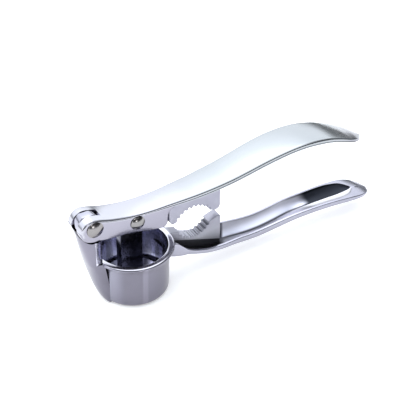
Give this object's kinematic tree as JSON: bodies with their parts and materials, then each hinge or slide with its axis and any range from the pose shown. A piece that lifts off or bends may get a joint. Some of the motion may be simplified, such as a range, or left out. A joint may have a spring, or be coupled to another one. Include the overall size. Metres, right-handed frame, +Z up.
{
  "type": "garlic press",
  "caption": "Hinged garlic press: a sieve-bottomed cup on a lower handle, a hinged upper handle with a plunger, and toothed cracking jaws between the handles.",
  "frame": {"origin": "middle of the cup's flat base, on the cup's axis", "axes": "+Z up through the cup, +X from the cup towards the handle tips, the hinge and plunger pins lie along Y"},
  "size_m": [0.158, 0.0388, 0.0534],
  "materials": {
    "lower_casting": "satin chrome plate over a zinc die casting",
    "upper_casting": "bright chrome plate over a zinc die casting",
    "plunger": "satin chrome plate over a zinc die casting",
    "rivets": "nickel-plated steel, polished domes"
  },
  "bodies": {
    "lower_body": {"cup_and_lower_handle": "lower_casting"},
    "handle": {"upper_handle": "upper_casting", "hinge_rivet": "rivets", "hinge_rivet_cap": "rivets", "plunger_rivet": "rivets", "plunger_rivet_cap": "rivets"},
    "press": {"plunger": "plunger"}
  },
  "joints": [
    {"name": "handle_hinge", "type": "hinge", "parent": "lower_body", "child": "handle", "pos_m": [-0.0211, 0, 0.0446], "axis": [0, -1, 0], "range_deg": [-3.2, 60]},
    {"name": "plunger_hinge", "type": "hinge", "parent": "handle", "child": "press", "pos_m": [0, 0, 0.0402], "axis": [0, -1, 0], "range_deg": [-52.3, 2.8]}
  ],
  "couplings": [
    {"joint": "plunger_hinge", "follows": "handle_hinge", "ratio": -0.87}
  ]
}
